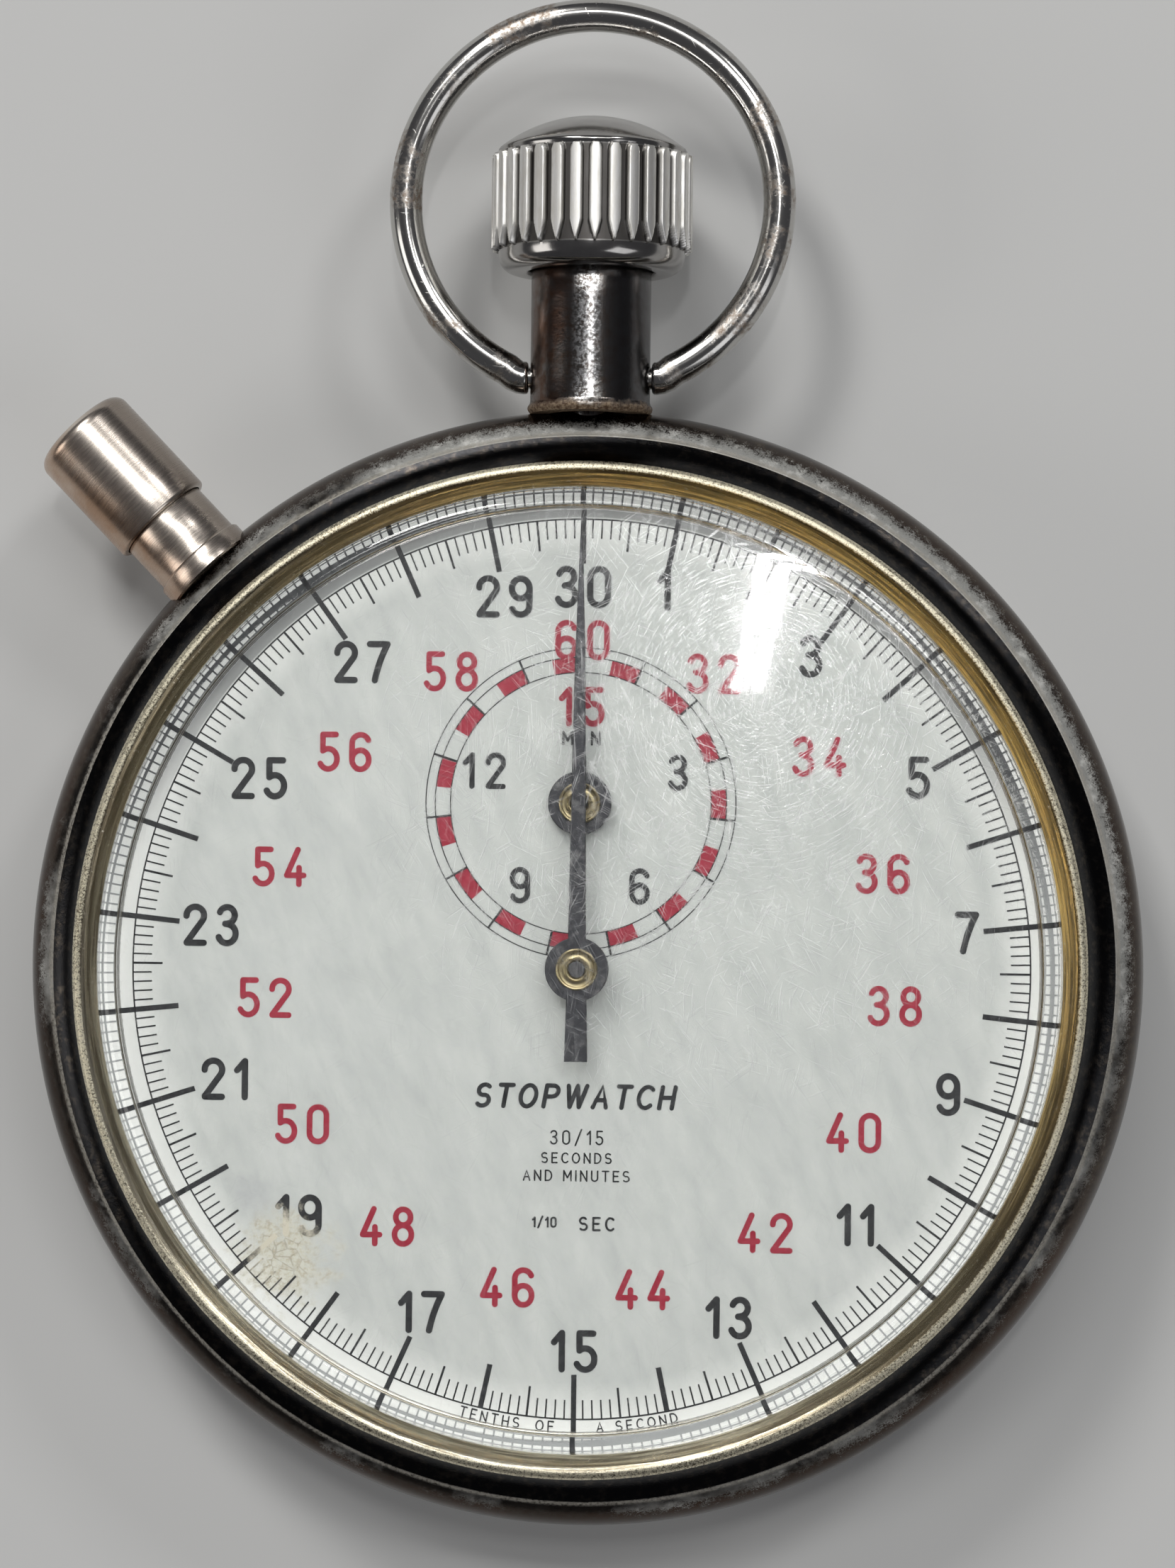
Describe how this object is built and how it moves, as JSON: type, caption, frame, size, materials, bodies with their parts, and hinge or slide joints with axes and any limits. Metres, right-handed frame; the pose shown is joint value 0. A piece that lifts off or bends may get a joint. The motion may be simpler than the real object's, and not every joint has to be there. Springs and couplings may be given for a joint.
{
  "type": "mechanical stopwatch",
  "caption": "Hand-wound mechanical pocket stopwatch with a fluted crown, a loop bow, a side reset pusher, a sweep seconds hand and a small minute counter under a domed crystal.",
  "frame": {"origin": "centre of the flat of the back cover, on which the watch lies", "axes": "+Z out of the dial, +Y to the crown, +X to the dial's right-hand side"},
  "size_m": [0.051, 0.0699, 0.0129],
  "materials": {
    "case_chrome": "worn polished chrome with dull specks and scratches",
    "back_chrome": "worn polished chrome",
    "bezel_brass": "brass showing through worn plating, rough on the rim",
    "pusher_nickel": "satin nickel, slightly tarnished",
    "crystal_acrylic": "clear domed acrylic with fine scratches",
    "dial_enamel": "matt light grey with printed scale",
    "hand_black": "satin black",
    "gilt_brass": "gilt brass",
    "nickel_plate": "nickelled brass",
    "polished_steel": "polished hardened steel",
    "blued_steel": "tempered blue steel",
    "ruby": "polished synthetic ruby"
  },
  "bodies": {
    "case": {"case_band": "case_chrome", "back_cover": "back_chrome", "bezel": "bezel_brass", "crystal": "crystal_acrylic", "pendant_tube": "case_chrome", "crown_spring": "blued_steel", "pusher_tube": "pusher_nickel", "pusher_spring": "blued_steel", "dial": "dial_enamel", "main_plate": "nickel_plate", "barrel_bridge": "nickel_plate", "train_bridge": "nickel_plate", "balance_cock": "nickel_plate", "pallet_cock": "nickel_plate", "jewels": "ruby", "bridge_screws": "blued_steel", "case_screws": "blued_steel", "crown_wheel_stud": "polished_steel", "click_stud": "polished_steel", "hairspring": "blued_steel", "regulator": "polished_steel", "column_jumper": "polished_steel", "jumper_screw": "blued_steel", "minute_jumper": "polished_steel"},
    "bow_ring": {"bow": "case_chrome"},
    "pinion": {"winding_pinion": "polished_steel"},
    "crown_unit": {"crown": "case_chrome", "crown_stem": "polished_steel"},
    "pusher_unit": {"pusher_cap": "pusher_nickel", "pusher_stem": "polished_steel"},
    "seconds_unit": {"seconds_wheel": "gilt_brass", "seconds_arbor": "polished_steel", "seconds_heart": "polished_steel", "seconds_finger": "polished_steel", "seconds_hand": "hand_black", "seconds_boss": "gilt_brass"},
    "minute_unit": {"minute_wheel": "gilt_brass", "minute_arbor": "polished_steel", "minute_heart": "polished_steel", "minute_hand": "hand_black", "minute_boss": "gilt_brass"},
    "idler_unit": {"idler": "gilt_brass"},
    "third_unit": {"third_wheel": "gilt_brass"},
    "second_unit": {"second_wheel": "gilt_brass"},
    "barrel_unit": {"barrel_drum": "gilt_brass", "barrel_cover": "gilt_brass", "mainspring": "blued_steel"},
    "ratchet_unit": {"ratchet_wheel": "polished_steel", "barrel_arbor": "polished_steel"},
    "crown_wheel_unit": {"crown_wheel": "polished_steel"},
    "escape_unit": {"escape_wheel": "polished_steel"},
    "fork_unit": {"pallet_fork": "polished_steel"},
    "balance_unit": {"balance_wheel": "gilt_brass"},
    "click_unit": {"click": "polished_steel"},
    "operating_unit": {"operating_lever": "polished_steel"},
    "hammer_unit": {"reset_hammer": "polished_steel"},
    "brake_unit": {"brake_lever": "polished_steel"},
    "column_unit": {"column_wheel": "polished_steel"}
  },
  "joints": [
    {"name": "bow_swing", "type": "hinge", "parent": "case", "child": "bow_ring", "pos_m": [0, 0.027, 0.006], "axis": [1, 0, 0], "range_deg": [-95, 95]},
    {"name": "crown_turn", "type": "hinge", "parent": "case", "child": "pinion", "pos_m": [0, 0.0187, 0.006], "axis": [0, 1, 0], "continuous": true},
    {"name": "crown_press", "type": "slide", "parent": "pinion", "child": "crown_unit", "axis": [0, -1, 0], "range_m": [0, 0.0015], "stiffness_N_per_m": 600, "springref_m": -0.002, "deforming": ["crown_spring"]},
    {"name": "pusher_press", "type": "slide", "parent": "case", "child": "pusher_unit", "axis": [0.6947, -0.7193, 0], "range_m": [0, 0.0015], "stiffness_N_per_m": 600, "springref_m": -0.002, "deforming": ["pusher_spring"]},
    {"name": "seconds_turn", "type": "hinge", "parent": "case", "child": "seconds_unit", "pos_m": [0, 0, 0.006], "axis": [0, 0, -1], "continuous": true},
    {"name": "minute_turn", "type": "hinge", "parent": "case", "child": "minute_unit", "pos_m": [0, 0.00745, 0.006], "axis": [0, 0, -1], "continuous": true},
    {"name": "idler_turn", "type": "hinge", "parent": "case", "child": "idler_unit", "pos_m": [-0.00318, 0.00427, 0.006], "axis": [0, 0, -1], "continuous": true},
    {"name": "third_turn", "type": "hinge", "parent": "case", "child": "third_unit", "pos_m": [0.00505, -0.00093, 0.006], "axis": [0, 0, -1], "continuous": true},
    {"name": "second_turn", "type": "hinge", "parent": "case", "child": "second_unit", "pos_m": [0.01011, 0.00197, 0.006], "axis": [0, 0, -1], "continuous": true},
    {"name": "barrel_turn", "type": "hinge", "parent": "case", "child": "barrel_unit", "pos_m": [0.009, 0.00959, 0.006], "axis": [0, 0, -1], "continuous": true},
    {"name": "escape_turn", "type": "hinge", "parent": "case", "child": "escape_unit", "pos_m": [-0.00414, -0.0029, 0.006], "axis": [0, 0, -1], "continuous": true},
    {"name": "crown_wheel_turn", "type": "hinge", "parent": "case", "child": "crown_wheel_unit", "pos_m": [0, 0.015, 0.004], "axis": [0, 0, 1], "continuous": true},
    {"name": "ratchet_turn", "type": "hinge", "parent": "case", "child": "ratchet_unit", "pos_m": [0.009, 0.00959, 0.006], "axis": [0, 0, 1], "continuous": true},
    {"name": "fork_swing", "type": "hinge", "parent": "case", "child": "fork_unit", "pos_m": [-0.00527, -0.00568, 0.006], "axis": [0, 0, 1], "range_deg": [-4, 4]},
    {"name": "balance_swing", "type": "hinge", "parent": "case", "child": "balance_unit", "pos_m": [-0.00673, -0.0093, 0.006], "axis": [0, 0, 1], "range_deg": [-200, 200], "stiffness_Nm_per_rad": 0.000002},
    {"name": "click_lift", "type": "hinge", "parent": "case", "child": "click_unit", "pos_m": [0.01523, 0.00473, 0.0036], "axis": [0, 0, 1], "range_deg": [0, 8]},
    {"name": "operating_swing", "type": "hinge", "parent": "case", "child": "operating_unit", "pos_m": [-0.006, 0.0133, 0.006], "axis": [0, 0, 1], "range_deg": [-16.5, 0]},
    {"name": "hammer_swing", "type": "hinge", "parent": "case", "child": "hammer_unit", "pos_m": [-0.0155, 0.0031, 0.004], "axis": [0, 0, 1], "range_deg": [-9.8, 0]},
    {"name": "brake_lift", "type": "hinge", "parent": "case", "child": "brake_unit", "pos_m": [-0.0156, -0.0075, 0.0044], "axis": [0, 0, 1], "range_deg": [0, 4]},
    {"name": "column_turn", "type": "hinge", "parent": "case", "child": "column_unit", "pos_m": [-0.0116, 0.0056, 0.006], "axis": [0, 0, 1], "continuous": true}
  ],
  "couplings": [
    {"joint": "minute_turn", "follows": "seconds_turn", "ratio": 0.033333},
    {"joint": "idler_turn", "follows": "seconds_turn", "ratio": -0.066667},
    {"joint": "third_turn", "follows": "seconds_turn", "ratio": -0.16667},
    {"joint": "second_turn", "follows": "seconds_turn", "ratio": 0.027778},
    {"joint": "barrel_turn", "follows": "seconds_turn", "ratio": -0.0046296},
    {"joint": "escape_turn", "follows": "seconds_turn", "ratio": -10},
    {"joint": "crown_wheel_turn", "follows": "crown_turn", "ratio": 0.5},
    {"joint": "ratchet_turn", "follows": "crown_turn", "ratio": -0.375},
    {"joint": "operating_swing", "follows": "crown_press", "rad_per_m": -186.17},
    {"joint": "hammer_swing", "follows": "pusher_press", "rad_per_m": -111.7}
  ]
}
